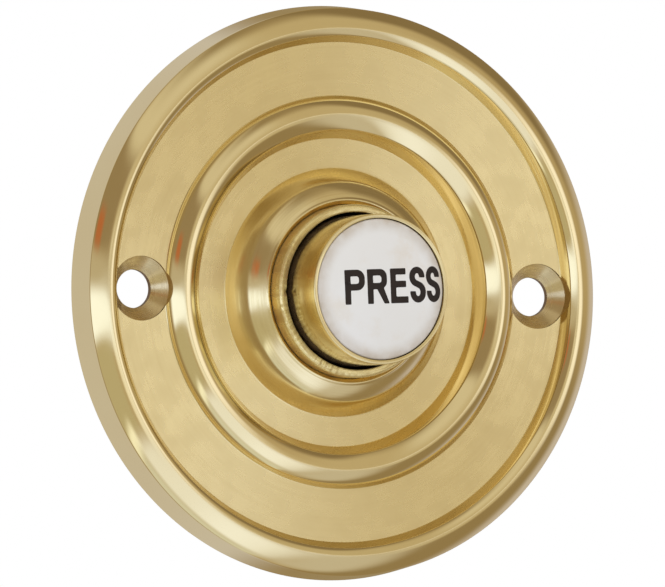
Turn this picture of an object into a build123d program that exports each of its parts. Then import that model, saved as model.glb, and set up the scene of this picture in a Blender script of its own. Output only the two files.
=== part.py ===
from build123d import *
import os
from math import cos, radians

# A round brass doorbell push: a turned rose, a threaded barrel screwed through its centre, and a
# china-faced button that slides in the barrel and bridges two contacts on an insulating block.
# Sizes are in millimetres. The origin is on the wall plane at the rose's centre, the front faces
# -Y and +Z is up. A height is counted from the wall plane towards the front, so it lies at -Y.

# Barrel, which everything round the centre is worked out from
barrel_radius = 11.5
barrel_wall = 1.09
barrel_front_height = 8.9
barrel_rear_depth = 8.0
barrel_edge_break = 0.2
thread_clearance = 0.06

# Rose: the moulded front, counted outwards from the barrel and inwards from the rim
rose_radius = 38.0
rim_draft = 0.45
rim_height = 4.45
outer_bead_height = 5.5
outer_bead_slope_width = 2.65
outer_bead_width = 4.45
outer_field_height = 3.8
middle_bead_height = 5.35
middle_bead_width = 5.6
middle_bead_slope_width = 3.2
inner_field_height = 2.7
inner_field_width = 3.95
shoulder_width = 4.04
shoulder_bulge = 0.4
lip_height = 6.85
lip_width = 0.35
lip_rounding = 0.16
mouth_chamfer = 0.5

# Rose: the hollow back
outer_wall = 2.85
inner_wall = 2.0
rim_wall = 2.0
back_slope_width = 1.1
hub_wall = 4.4
hub_recess = 0.3
back_draft = 0.3

# Screw holes through the outer field
screw_hole_radius = 2.55
countersink_radius = 4.3
countersink_sink = 0.35

# Lock washer and nut that hold the barrel in the rose from behind
washer_clearance = 0.15
lock_washer_width = 2.9
lock_washer_thickness = 0.8
lock_washer_slit = 0.9
lock_nut_wall = 2.44
lock_nut_thickness = 3.5
nut_corner_share = 0.5
lock_slit_angle = 20.0

# Button cup
cup_clearance = 0.43
cup_front_height = 15.7
cup_skirt_wall = 0.65
cup_skirt_height = 3.6
cup_rim_wall = 0.56
cup_edge_rounding = 0.12
pocket_depth = 2.35
cup_floor_thickness = 1.6
cup_boss_radius = 3.4
cup_boss_length = 3.4

# China disc
china_clearance = 0.06
china_edge_drop = 0.1
china_dome = 0.5
china_edge_rounding = 0.3

# Plunger stem and the stack that it carries
travel = 2.5
contact_gap_spare = 0.05
stem_radius = 1.5
stem_clearance = 0.05
stem_thread_length = 3.2
stem_thread_spare = 0.1
stem_collar_radius = 3.0
stem_collar_length = 1.0
stem_collar_rear = 2.2
stem_groove_radius = 1.1
stem_tail = 0.8
thread_end_chamfer = 0.3
insulator_radius = 3.8
insulator_thickness = 0.8
bush_tube_radius = 2.3
bridge_edge_gap = 1.85
bridge_thickness = 0.5
bridge_clearance = 0.05

# Stop washer and clip behind the block
stop_gap = 0.03
stop_washer_radius = 2.9
stop_washer_thickness = 0.5
clip_radius = 2.7
clip_thickness = 0.5
clip_clearance = 0.05
clip_opening = 2.0

# Contact block
block_clearance = 0.05
block_flange_step = 1.26
block_flange_thickness = 3.0
block_chamfer = 0.5
block_web = 3.0
spring_seat_radius = 3.5
spring_seat_depth = 1.8
clip_pocket_radius = 3.4
barrier_width = 1.6
barrier_length = 18.0
barrier_height = 2.2

# Contact studs with their nuts and washers
stud_edge_gap = 1.05
stud_radius = 1.5
stud_clearance = 0.05
stud_head_radius = 2.2
stud_head_thickness = 1.0
stud_head_rounding = 0.3
stud_tail = 0.9
stud_nut_flats = 5.5
stud_nut_thickness = 1.8
terminal_washer_radius = 2.9
terminal_washer_thickness = 0.5
terminal_nut_radius = 3.0
terminal_nut_thickness = 2.6
terminal_grooves = 16
terminal_groove_radius = 0.25

# Grub screws that hold the block in the barrel
grub_radius = 1.0
grub_length = 3.4
grub_recess = 0.25
grub_slot_width = 0.35
grub_slot_depth = 0.5
grub_from_rear = 2.4
grub_clearance = 0.04

# Return spring
spring_radius = 2.6
spring_wire_radius = 0.2
spring_turns = 4.5
spring_end_gap = 0.02

# Radii of the rose, from the barrel outwards
barrel_bore_radius = barrel_radius - barrel_wall
bore_radius = barrel_radius + thread_clearance
lock_nut_flats = 2 * (bore_radius + lock_nut_wall)
lip_inner_radius = bore_radius + mouth_chamfer
lip_outer_radius = lip_inner_radius + lip_width
shoulder_foot_radius = lip_outer_radius + shoulder_width
inner_field_radius = shoulder_foot_radius + inner_field_width
middle_crest_radius = inner_field_radius + middle_bead_slope_width
outer_field_start = inner_field_radius + middle_bead_width
hub_radius = bore_radius + hub_wall

# Radii of the rose, from the rim inwards
crease_radius = rose_radius - rim_draft
outer_crest_radius = crease_radius - outer_bead_slope_width
outer_field_end = crease_radius - outer_bead_width
skirt_radius = rose_radius - rim_wall
screw_hole_offset = (outer_field_start + outer_field_end) / 2

# Heights of the rose's back, where only the rim meets the wall, and of the nut behind the hub
outer_back_height = outer_field_height - outer_wall
inner_back_height = inner_field_height - inner_wall
lock_nut_front = hub_recess - lock_washer_thickness

# Heights of the countersinks' cones, which end a little below the field
countersink_top = outer_field_height - countersink_sink
countersink_start = countersink_top - countersink_radius + screw_hole_radius

# Button cup and china
cup_radius = barrel_bore_radius - cup_clearance
pocket_radius = cup_radius - cup_rim_wall
pocket_floor_height = cup_front_height - pocket_depth
cup_floor_rear = pocket_floor_height - cup_floor_thickness
cup_boss_rear = cup_floor_rear - cup_boss_length
stem_front = cup_boss_rear + stem_thread_length
china_radius = pocket_radius - china_clearance
china_edge_height = cup_front_height - china_edge_drop

# Stack on the stem, from the collar backwards
insulator_rear = stem_collar_rear - insulator_thickness
bridge_rear = insulator_rear - bridge_thickness
bush_rear = bridge_rear - insulator_thickness
bridge_radius = barrel_bore_radius - bridge_edge_gap
stem_hole_radius = stem_radius + stem_clearance

# Block: the heads of the studs wait one travel behind the bridge
stud_head_front = bridge_rear - travel - contact_gap_spare
block_front = stud_head_front - stud_head_thickness
spring_seat_height = block_front - spring_seat_depth
web_rear = spring_seat_height - block_web
block_shoulder = -barrel_rear_depth
block_rear = block_shoulder - block_flange_thickness
block_spigot_radius = barrel_bore_radius - block_clearance
block_flange_radius = barrel_radius + block_flange_step
stud_offset = barrel_bore_radius - stud_edge_gap - stud_head_radius
stud_hole_radius = stud_radius + stud_clearance
grub_height = block_shoulder + grub_from_rear

# Behind the web and behind the block
stop_washer_front = web_rear - stop_gap
clip_front = stop_washer_front - stop_washer_thickness
clip_rear = clip_front - clip_thickness
stem_rear = clip_rear - stem_tail
stud_nut_rear = block_rear - stud_nut_thickness
terminal_washer_rear = stud_nut_rear - terminal_washer_thickness
terminal_nut_rear = terminal_washer_rear - terminal_nut_thickness
stud_rear = terminal_nut_rear - stud_tail

# Section plane through the axis: across is the radius and up is the height
section = Plane(origin=(0, 0, 0), x_dir=(1, 0, 0), z_dir=(0, 0, -1))


def facing_plane(height, across=0):
    """Plane parallel to the wall that faces the front, its origin on a line beside the axis."""
    return Plane(origin=(across, -height, 0), x_dir=(1, 0, 0), z_dir=(0, -1, 0))


def grub_plane(side):
    """Plane of a grub screw's outer end, facing up on the upper side and down on the lower."""
    return Plane(
        origin=(0, -grub_height, side * (barrel_radius - grub_recess)),
        x_dir=(1, 0, 0),
        z_dir=(0, 0, side),
    )


def ring(front_height, thickness, outer_radius, inner_radius, across=0):
    """Flat ring that reaches backwards from its front height."""
    with BuildPart() as flat_ring:
        with BuildSketch(facing_plane(front_height, across)):
            Circle(outer_radius)
            Circle(inner_radius, mode=Mode.SUBTRACT)
        extrude(amount=-thickness)
    return flat_ring.part


def hexagon_nut(front_height, thickness, flats, bore, across=0):
    """Hexagon nut with its corners turned back on both faces and two flats facing sideways."""
    corner_radius = flats / 2 / cos(radians(30))
    with BuildPart() as nut:
        with BuildSketch(facing_plane(front_height, across)):
            Circle(corner_radius)
        extrude(amount=-thickness)
        chamfer(nut.edges().filter_by(GeomType.CIRCLE), nut_corner_share * (corner_radius - flats / 2))
        with BuildSketch(facing_plane(front_height, across)):
            RegularPolygon(flats / 2, 6, major_radius=False, rotation=30)
        extrude(amount=-thickness, mode=Mode.INTERSECT)
        with BuildSketch(facing_plane(front_height, across)):
            Circle(bore)
        extrude(amount=-thickness, mode=Mode.SUBTRACT)
    return nut.part


def keep(solid, name):
    """Label a finished piece and write it."""
    solid.label = name
    export_step(solid, f"parts/{name}.step")


os.makedirs("parts", exist_ok=True)

# Front plate: one turned casting with two beads, a rounded shoulder up to the barrel and a hollow back
with BuildPart() as front_plate:
    with BuildSketch(section):
        with BuildLine():
            Line((rose_radius, 0), (crease_radius, rim_height))
            TangentArc(
                (outer_crest_radius, outer_bead_height),
                (crease_radius, rim_height),
                tangent=(1, 0),
            )
            TangentArc(
                (outer_crest_radius, outer_bead_height),
                (outer_field_end, outer_field_height),
                tangent=(-1, 0),
            )
            Line((outer_field_end, outer_field_height), (outer_field_start, outer_field_height))
            TangentArc(
                (middle_crest_radius, middle_bead_height),
                (outer_field_start, outer_field_height),
                tangent=(1, 0),
            )
            TangentArc(
                (middle_crest_radius, middle_bead_height),
                (inner_field_radius, inner_field_height),
                tangent=(-1, 0),
            )
            Line((inner_field_radius, inner_field_height), (shoulder_foot_radius, inner_field_height))
            SagittaArc(
                (shoulder_foot_radius, inner_field_height),
                (lip_outer_radius, lip_height - lip_rounding),
                -shoulder_bulge,
            )
            Polyline(
                (lip_outer_radius, lip_height - lip_rounding),
                (lip_outer_radius - lip_rounding, lip_height),
                (lip_inner_radius, lip_height),
                (bore_radius, lip_height - mouth_chamfer),
                (bore_radius, hub_recess),
                (hub_radius, hub_recess),
                (hub_radius + back_draft, inner_back_height),
                (inner_field_radius, inner_back_height),
                (inner_field_radius + back_slope_width, outer_back_height),
                (skirt_radius - back_draft, outer_back_height),
                (skirt_radius, 0),
                (rose_radius, 0),
            )
        make_face()
    revolve(axis=Axis.Y)
    with BuildSketch(facing_plane(outer_back_height)):
        with Locations((screw_hole_offset, 0), (-screw_hole_offset, 0)):
            Circle(screw_hole_radius)
    extrude(amount=outer_wall, mode=Mode.SUBTRACT)
    with BuildSketch(facing_plane(countersink_start)):
        with Locations((screw_hole_offset, 0), (-screw_hole_offset, 0)):
            Circle(screw_hole_radius)
    extrude(amount=countersink_top - countersink_start, taper=-45, mode=Mode.SUBTRACT)
    with BuildSketch(facing_plane(countersink_top)):
        with Locations((screw_hole_offset, 0), (-screw_hole_offset, 0)):
            Circle(countersink_radius)
    extrude(amount=outer_bead_height, mode=Mode.SUBTRACT)
keep(front_plate.part, "front_plate")

# Barrel: a threaded tube that guides the button and carries the contact block at its rear
with BuildPart() as barrel:
    with BuildSketch(facing_plane(-barrel_rear_depth)):
        Circle(barrel_radius)
        Circle(barrel_bore_radius, mode=Mode.SUBTRACT)
    extrude(amount=barrel_rear_depth + barrel_front_height)
    rims = barrel.edges().filter_by(GeomType.CIRCLE)
    rims = rims.filter_by(lambda edge: edge.radius > barrel_bore_radius + thread_clearance)
    chamfer(rims, barrel_edge_break)
    with BuildSketch(Plane.XY.move(Location((0, -grub_height, 0)))):
        Circle(grub_radius + grub_clearance)
    extrude(amount=2 * barrel_radius, both=True, mode=Mode.SUBTRACT)
keep(barrel.part, "barrel")

# Lock washer: a split ring between the hub and the nut
with BuildPart() as lock_washer:
    lock_washer_inner = barrel_radius + washer_clearance
    with BuildSketch(facing_plane(hub_recess)):
        Circle(lock_washer_inner + lock_washer_width)
        Circle(lock_washer_inner, mode=Mode.SUBTRACT)
        with Locations((0, lock_washer_inner + lock_washer_width / 2)):
            Rectangle(lock_washer_slit, 2 * lock_washer_width, rotation=lock_slit_angle, mode=Mode.SUBTRACT)
    extrude(amount=-lock_washer_thickness)
keep(lock_washer.part, "lock_washer")

lock_nut = hexagon_nut(lock_nut_front, lock_nut_thickness, lock_nut_flats, bore_radius)
keep(lock_nut, "lock_nut")

# Button cup: a pocket for the china in front, a guiding skirt and a tapped boss behind
with BuildPart() as button_cup:
    with BuildSketch(section):
        with BuildLine():
            Polyline(
                (0, pocket_floor_height),
                (pocket_radius, pocket_floor_height),
                (pocket_radius, cup_front_height),
                (cup_radius, cup_front_height),
                (cup_radius, cup_skirt_height),
                (cup_radius - cup_skirt_wall, cup_skirt_height),
                (cup_radius - cup_skirt_wall, cup_floor_rear),
                (cup_boss_radius, cup_floor_rear),
                (cup_boss_radius, cup_boss_rear),
                (stem_radius + thread_clearance, cup_boss_rear),
                (stem_radius + thread_clearance, stem_front + stem_thread_spare),
                (0, stem_front + stem_thread_spare),
                close=True,
            )
        make_face()
    revolve(axis=Axis.Y)
    front_edges = button_cup.edges().filter_by(GeomType.CIRCLE).group_by(Axis.Y)[0]
    fillet(front_edges.sort_by(SortBy.RADIUS)[-1], cup_edge_rounding)
keep(button_cup.part, "button_cup")

# China disc: domed and glazed, cemented into the cup
with BuildPart() as china_disc:
    with BuildSketch(section):
        with BuildLine():
            TangentArc(
                (0, china_edge_height + china_dome),
                (china_radius, china_edge_height),
                tangent=(1, 0),
            )
            Polyline(
                (china_radius, china_edge_height),
                (china_radius, pocket_floor_height),
                (0, pocket_floor_height),
                (0, china_edge_height + china_dome),
            )
        make_face()
    revolve(axis=Axis.Y)
    rims = china_disc.edges().filter_by(GeomType.CIRCLE).filter_by(lambda edge: edge.radius < cup_radius)
    fillet(rims.sort_by(Axis.Y)[0], china_edge_rounding)
keep(china_disc.part, "china_disc")

# Plunger stem: screwed into the cup's boss, with a collar for the stack and a groove for the clip
with BuildPart() as plunger_stem:
    with BuildSketch(section):
        with BuildLine():
            Polyline(
                (0, stem_front),
                (stem_radius - thread_end_chamfer, stem_front),
                (stem_radius, stem_front - thread_end_chamfer),
                (stem_radius, stem_collar_rear + stem_collar_length),
                (stem_collar_radius, stem_collar_rear + stem_collar_length),
                (stem_collar_radius, stem_collar_rear),
                (stem_radius, stem_collar_rear),
                (stem_radius, clip_front),
                (stem_groove_radius, clip_front),
                (stem_groove_radius, clip_rear),
                (stem_radius, clip_rear),
                (stem_radius, stem_rear + thread_end_chamfer),
                (stem_radius - thread_end_chamfer, stem_rear),
                (0, stem_rear),
                close=True,
            )
        make_face()
    revolve(axis=Axis.Y)
keep(plunger_stem.part, "plunger_stem")

front_insulator = ring(stem_collar_rear, insulator_thickness, insulator_radius, stem_hole_radius)
keep(front_insulator, "front_insulator")

bridge_hole_radius = bush_tube_radius + bridge_clearance
bridge_disc = ring(insulator_rear, bridge_thickness, bridge_radius, bridge_hole_radius)
keep(bridge_disc, "bridge_disc")

# Insulating bush: its tube fills the bridge's hole and its flange takes the spring
with BuildPart() as insulating_bush:
    with BuildSketch(section):
        with BuildLine():
            Polyline(
                (stem_hole_radius, insulator_rear),
                (bush_tube_radius, insulator_rear),
                (bush_tube_radius, bridge_rear),
                (insulator_radius, bridge_rear),
                (insulator_radius, bush_rear),
                (stem_hole_radius, bush_rear),
                close=True,
            )
        make_face()
    revolve(axis=Axis.Y)
keep(insulating_bush.part, "insulating_bush")

stop_washer = ring(stop_washer_front, stop_washer_thickness, stop_washer_radius, stem_hole_radius)
keep(stop_washer, "stop_washer")

# Retaining clip: an open ring that snaps into the stem's groove
with BuildPart() as retaining_clip:
    with BuildSketch(facing_plane(clip_front)):
        Circle(clip_radius)
        Circle(stem_groove_radius + clip_clearance, mode=Mode.SUBTRACT)
        with Locations((0, -clip_radius / 2)):
            Rectangle(clip_opening, clip_radius, mode=Mode.SUBTRACT)
    extrude(amount=-clip_thickness)
keep(retaining_clip.part, "retaining_clip")

# Contact block: a moulded plug with a spring seat, a clip pocket and a barrier between terminals
with BuildPart() as contact_block:
    with BuildSketch(section):
        with BuildLine():
            Polyline(
                (stem_hole_radius, spring_seat_height),
                (spring_seat_radius, spring_seat_height),
                (spring_seat_radius, block_front),
                (block_spigot_radius - block_chamfer, block_front),
                (block_spigot_radius, block_front - block_chamfer),
                (block_spigot_radius, block_shoulder),
                (block_flange_radius, block_shoulder),
                (block_flange_radius, block_rear + block_chamfer),
                (block_flange_radius - block_chamfer, block_rear),
                (clip_pocket_radius, block_rear),
                (clip_pocket_radius, web_rear),
                (stem_hole_radius, web_rear),
                close=True,
            )
        make_face()
    revolve(axis=Axis.Y)
    with BuildSketch(facing_plane(block_rear)):
        Rectangle(barrier_width, barrier_length)
        Circle(clip_pocket_radius, mode=Mode.SUBTRACT)
    extrude(amount=-barrier_height)
    with BuildSketch(facing_plane(block_front)):
        with Locations((stud_offset, 0), (-stud_offset, 0)):
            Circle(stud_hole_radius)
    extrude(amount=block_rear - block_front, mode=Mode.SUBTRACT)
    for side in (1, -1):
        with BuildSketch(grub_plane(side)):
            Circle(grub_radius + grub_clearance)
        extrude(amount=-grub_length - grub_clearance, mode=Mode.SUBTRACT)
keep(contact_block.part, "contact_block")


def contact_stud(across):
    """Contact stud: a button head inside the block and a long threaded shank behind it."""
    with BuildPart() as stud:
        with BuildSketch(facing_plane(stud_head_front, across)):
            Circle(stud_head_radius)
        extrude(amount=-stud_head_thickness)
        fillet(stud.edges().filter_by(GeomType.CIRCLE).group_by(Axis.Y)[0], stud_head_rounding)
        with BuildSketch(facing_plane(block_front, across)):
            Circle(stud_radius)
        extrude(amount=stud_rear - block_front)
        chamfer(stud.edges().filter_by(GeomType.CIRCLE).group_by(Axis.Y)[-1], thread_end_chamfer)
    return stud.part


def terminal_nut(across):
    """Round thumb nut with finger grooves round its edge, for the bell wire."""
    with BuildPart() as nut:
        with BuildSketch(facing_plane(terminal_washer_rear, across)):
            Circle(terminal_nut_radius)
            with PolarLocations(terminal_nut_radius, terminal_grooves):
                Circle(terminal_groove_radius, mode=Mode.SUBTRACT)
            Circle(stud_hole_radius, mode=Mode.SUBTRACT)
        extrude(amount=-terminal_nut_thickness)
    return nut.part


def grub_screw(side):
    """Slotted grub screw, let in below the barrel's thread."""
    with BuildPart() as grub:
        with BuildSketch(grub_plane(side)):
            Circle(grub_radius)
        extrude(amount=-grub_length)
        with BuildSketch(grub_plane(side)):
            Rectangle(4 * grub_radius, grub_slot_width)
        extrude(amount=-grub_slot_depth, mode=Mode.SUBTRACT)
    return grub.part


# Terminals, one each side of the barrier
for side_name, stud_across in (("left", -stud_offset), ("right", stud_offset)):
    keep(contact_stud(stud_across), f"contact_stud_{side_name}")
    keep(
        hexagon_nut(block_rear, stud_nut_thickness, stud_nut_flats, stud_hole_radius, stud_across),
        f"stud_nut_{side_name}",
    )
    keep(
        ring(
            stud_nut_rear,
            terminal_washer_thickness,
            terminal_washer_radius,
            stud_hole_radius,
            stud_across,
        ),
        f"terminal_washer_{side_name}",
    )
    keep(terminal_nut(stud_across), f"terminal_nut_{side_name}")

keep(grub_screw(1), "grub_screw_upper")
keep(grub_screw(-1), "grub_screw_lower")

# Return spring: a coil round the stem, from the block's seat to the bush's flange
with BuildPart() as return_spring:
    spring_start = spring_seat_height + spring_wire_radius + spring_end_gap
    spring_rise = bush_rear - spring_seat_height - 2 * (spring_wire_radius + spring_end_gap)
    with BuildLine() as coil:
        Helix(
            spring_rise / spring_turns,
            spring_rise,
            spring_radius,
            center=(0, -spring_start, 0),
            direction=(0, -1, 0),
        )
    with BuildSketch(coil.edge() ^ 0):
        Circle(spring_wire_radius)
    sweep(is_frenet=True)
keep(return_spring.part, "return_spring")
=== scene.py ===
import math

import bmesh
import bpy
import numpy as np
from mathutils import Matrix, Vector, kdtree
from mathutils.geometry import tessellate_polygon


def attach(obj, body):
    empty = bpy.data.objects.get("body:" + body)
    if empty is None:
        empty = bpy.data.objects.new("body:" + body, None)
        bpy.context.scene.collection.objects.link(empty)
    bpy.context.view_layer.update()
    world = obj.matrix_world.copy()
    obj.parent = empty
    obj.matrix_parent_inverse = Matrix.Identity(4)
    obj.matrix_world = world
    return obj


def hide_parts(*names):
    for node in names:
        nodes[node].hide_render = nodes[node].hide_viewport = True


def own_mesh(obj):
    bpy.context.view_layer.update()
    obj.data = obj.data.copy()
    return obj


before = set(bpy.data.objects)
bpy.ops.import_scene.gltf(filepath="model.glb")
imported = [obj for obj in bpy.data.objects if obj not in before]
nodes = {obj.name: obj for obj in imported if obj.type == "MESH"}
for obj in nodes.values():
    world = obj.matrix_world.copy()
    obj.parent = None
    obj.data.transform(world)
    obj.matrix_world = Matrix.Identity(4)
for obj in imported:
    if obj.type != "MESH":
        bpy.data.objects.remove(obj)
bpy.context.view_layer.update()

# Lengths of the object are in millimetres, and MM turns them to metres. The studio's are in metres.
# A section is a line of (radius, height) points, where height is counted from the wall plane to
# the front. A turn is an angle round the axis in degrees, from +X towards +Z.
MM = 0.001
ARC_STEPS = 48
SHARP_ANGLE = 35.0

# Rose, as the part's source has it. A field is (outer radius, inner radius, height)
ROSE_RADIUS = 38.0
RIM_EDGE = (37.55, 4.45)
OUTER_CREST = (34.9, 5.5)
OUTER_FIELD = (33.1, 26.0, 3.8)
MIDDLE_CREST = (23.6, 5.35)
INNER_FIELD = (20.4, 16.45, 2.7)
LIP = (12.41, 6.85)
LIP_ROUNDING = 0.16
MOUTH_RADIUS = 12.06
BORE_RADIUS = 11.56
HUB_RADIUS = 15.96
HUB_RECESS = 0.3
SKIRT_RADIUS = 36.0
BACK_DRAFT = 0.3
BACK_SLOPE_WIDTH = 1.1
BACK_HEIGHT = 0.95
INNER_BACK_HEIGHT = 0.7
SCREW_OFFSET = 29.55
SCREW_HOLE_RADIUS = 2.55
COUNTERSINK_RADIUS = 4.3
COUNTERSINK_TOP = 3.45
COUNTERSINK_START = 1.7

# Where the mouldings turn from a rounded crest to a straight flank, which the source leaves as one arc
OUTER_TURN = (33.9, 5.17)
MIDDLE_TURNS = ((25.85, 4.0), (21.45, 4.7))
SHOULDER_BEND = (14.55, 5.5)
SHOULDER_BULGE = 0.17

# Barrel: its thread stops short of a plain front band, and its front edge has burrs and a nick,
# each given by its turn and its spread in degrees
BARREL_RADIUS = 11.5
BARREL_BORE = 10.41
BARREL_FRONT = 8.9
BARREL_REAR = -8.0
THREAD_PITCH = 1.0
THREAD_DEPTH = 0.45
THREAD_FRONT = 5.6
THREAD_RUN_OUT = 0.8
THREAD_LEAD_IN = 0.5
WORN_BAND = 0.5
BURRS = (232, 26)
NICK = (181.5, 1.4)
NICK_DEPTH = 0.35
FRONT_ROUNDING = 0.25
BORE_CHAMFER = (0.08, 0.1)
REAR_CHAMFER = 0.2
GRUB_HEIGHT = -5.6
GRUB_HOLE_RADIUS = 1.04

# Button and spring
CUP_RADIUS = 9.98
CUP_FRONT = 15.7
CUP_RIM_BAND = 13.0
CUP_SKIRT_BORE = 9.0
CUP_SKIRT_REAR = 3.6
CUP_FLOOR_REAR = 11.75
CUP_BOSS_RADIUS = 3.4
CUP_BOSS_REAR = 8.35
STEM_HOLE_RADIUS = 1.56
STEM_HOLE_END = 11.65
POCKET_RADIUS = 9.42
POCKET_FLOOR = 13.35
CHINA_RADIUS = 9.36
CHINA_EDGE = 15.6
CHINA_APEX = 16.1
CHINA_EDGE_BAND = 0.6
SPRING_SEAT = -4.45
SPRING_TOP = 0.1
SPRING_RADIUS = 2.6
SPRING_WIRE = 0.2


# Shapes: sections, and the meshes that are turned from them

def arc_through(start, middle, end):
    """Circular arc through three points of a section."""
    (x1, y1), (x2, y2), (x3, y3) = start, middle, end
    sides = np.array([[x2 - x1, y2 - y1], [x3 - x1, y3 - y1]]) * 2
    squares = [x2**2 - x1**2 + y2**2 - y1**2, x3**2 - x1**2 + y3**2 - y1**2]
    centre = np.linalg.solve(sides, squares)
    radius = math.dist(start, centre)
    angles = [math.atan2(y - centre[1], x - centre[0]) for x, y in (start, middle, end)]
    for k in (1, 2):
        angles[k] = angles[0] + math.remainder(angles[k] - angles[0], math.tau)
    turn = np.linspace(angles[0], angles[2], ARC_STEPS)
    return np.stack([centre[0] + radius * np.cos(turn), centre[1] + radius * np.sin(turn)], 1)


def bead_side(crest, turn_point, foot):
    """Side of a bead's section, from its crest down to its foot: an arc that starts level and runs
    to the turning point, and below that a straight flank."""
    across, drop = turn_point[0] - crest[0], crest[1] - turn_point[1]
    passed = np.linspace(0, 2 * math.atan2(drop, abs(across)), ARC_STEPS)
    radius = (across**2 + drop**2) / (2 * drop)
    side = math.copysign(radius, across)
    arc = np.stack([crest[0] + side * np.sin(passed), crest[1] - radius * (1 - np.cos(passed))], 1)
    return np.concatenate([arc, [foot]])


def ellipse_part(centre, radii, start, sweep, steps=24):
    """Part of an ellipse, its angles in degrees."""
    turn = np.radians(start + sweep * np.linspace(0, 1, steps))
    return np.stack([centre[0] + radii[0] * np.cos(turn), centre[1] + radii[1] * np.sin(turn)], 1)


def bulged(start, end, bulge):
    """Arc that stands out from the straight line between two points of a section by its bulge."""
    (x1, y1), (x2, y2) = start, end
    off = np.array([y2 - y1, x1 - x2]) / math.dist(start, end)
    return arc_through(start, tuple(np.array([x1 + x2, y1 + y2]) / 2 + off * bulge), end)


def section(runs, spacing=0.02, rounds=170):
    """Joins runs of (finish, softness, points) into one evenly spaced closed line whose corners are
    rounded by about the softness. Gives the points, their finishes and their outward normals."""
    points, finishes, softness = [], [], []
    for finish, soft, run in runs:
        run = np.array(run, float)
        for a, b in zip(run[:-1], run[1:]):
            steps = max(1, round(math.dist(a, b) / spacing))
            share = np.arange(steps)[:, None] / steps
            points.append(a + (b - a) * share)
            finishes += [finish] * steps
            softness += [soft] * steps
    points = np.concatenate(points)
    rate = (np.array(softness) / spacing) ** 2 / (2 * rounds)
    for _ in range(rounds):
        points = points + rate[:, None] * (np.roll(points, 1, 0) + np.roll(points, -1, 0) - 2 * points)
    x, y = points.T
    area = np.sum(x * np.roll(y, -1) - np.roll(x, -1) * y)
    if area < 0:
        points, finishes = points[::-1], finishes[::-1]
        finishes = finishes[1:] + finishes[:1]
    along = np.roll(points, -1, 0) - np.roll(points, 1, 0)
    normals = np.stack([along[:, 1], -along[:, 0]], 1)
    normals /= np.linalg.norm(normals, axis=1)[:, None]
    return points, np.array(finishes), normals


def stations(line, bend=4.0, reach=1.0):
    """Picks the points of a section that the mesh needs: more of them where it bends."""
    points, finishes, normals = line
    ahead = np.roll(normals, -1, 0)
    turned = np.degrees(np.arccos(np.clip(np.sum(normals * ahead, 1), -1, 1)))
    length = np.linalg.norm(np.roll(points, -1, 0) - points, axis=1)
    passed = np.concatenate([[0], np.cumsum(turned / bend + length / reach)])[:-1]
    picked = np.searchsorted(passed, np.arange(0, passed[-1], 1.0))
    borders = np.nonzero(finishes != np.roll(finishes, 1))[0]
    return np.unique(np.concatenate([picked, borders]))


def mesh_of(name, points, faces):
    """A new mesh of these points, given in metres, and faces."""
    mesh = bpy.data.meshes.new(name)
    mesh.from_pydata(points, [], faces)
    return mesh


def turned_mesh(name, line, segments, bend=4.0, reach=1.0, centre=0.0, shape=None):
    """Turns a closed section about the axis, or about one beside it, into a mesh. Where shape is
    given it moves the points: it takes and gives radii, turns in degrees and heights."""
    picked = stations(line, bend, reach)
    points, finishes = line[0][picked], line[1][picked]
    turns = np.arange(segments) * 360.0 / segments
    radius = np.repeat(points[:, :1], segments, 1)
    height = np.repeat(points[:, 1:], segments, 1)
    turn = np.repeat(turns[None, :], len(points), 0)
    if shape:
        radius, turn, height = shape(radius, turn, height)
    angle = np.radians(turn)
    grid = np.stack([centre + radius * np.cos(angle), -height, radius * np.sin(angle)], -1) * MM
    faces, slots = [], []
    count = len(points)
    for i in range(count):
        for k in range(segments):
            j, l = (i + 1) % count, (k + 1) % segments
            faces.append((i * segments + k, i * segments + l, j * segments + l, j * segments + k))
            slots.append(int(finishes[i]))
    mesh = mesh_of(name, grid.reshape(-1, 3).tolist(), faces)
    mesh.polygons.foreach_set("material_index", slots)
    return mesh


def smooth(mesh):
    """Shades the mesh smooth, except across its sharp edges."""
    mesh.polygons.foreach_set("use_smooth", [True] * len(mesh.polygons))
    mesh.set_sharp_from_angle(angle=math.radians(SHARP_ANGLE))


def finish_mesh(mesh):
    """Closes what a turned mesh leaves open on its axis, points its faces outwards and smooths them."""
    work = bmesh.new()
    work.from_mesh(mesh)
    bmesh.ops.remove_doubles(work, verts=work.verts, dist=0.0005 * MM)
    bmesh.ops.recalc_face_normals(work, faces=work.faces)
    work.to_mesh(mesh)
    work.free()
    smooth(mesh)


def put_in_scene(name, data):
    """Makes an object of a mesh, lamp or camera and links it to the scene."""
    made = bpy.data.objects.new(name, data)
    bpy.context.scene.collection.objects.link(made)
    return made


def piece(name, mesh, body, finishes, replaced=()):
    """Makes an object of the mesh, which rides on its body and stands for its CAD nodes."""
    made = put_in_scene(name, mesh)
    for finish in finishes:
        mesh.materials.append(finish)
    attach(made, body)
    if replaced:
        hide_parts(*replaced)
    return made


def settle(made):
    """Applies the piece's modifiers."""
    graph = bpy.context.evaluated_depsgraph_get()
    mesh = bpy.data.meshes.new_from_object(made.evaluated_get(graph))
    made.modifiers.clear()
    old, made.data = made.data, mesh
    bpy.data.meshes.remove(old)


def cut(made, cutters):
    """Takes the cutters' shapes out of the piece."""
    for cutter in cutters:
        tool = put_in_scene("cutter", cutter)
        step = made.modifiers.new("cut", "BOOLEAN")
        step.object = tool
        step.solver = "EXACT"
        settle(made)
        bpy.data.objects.remove(tool)
        bpy.data.meshes.remove(cutter)


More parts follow.
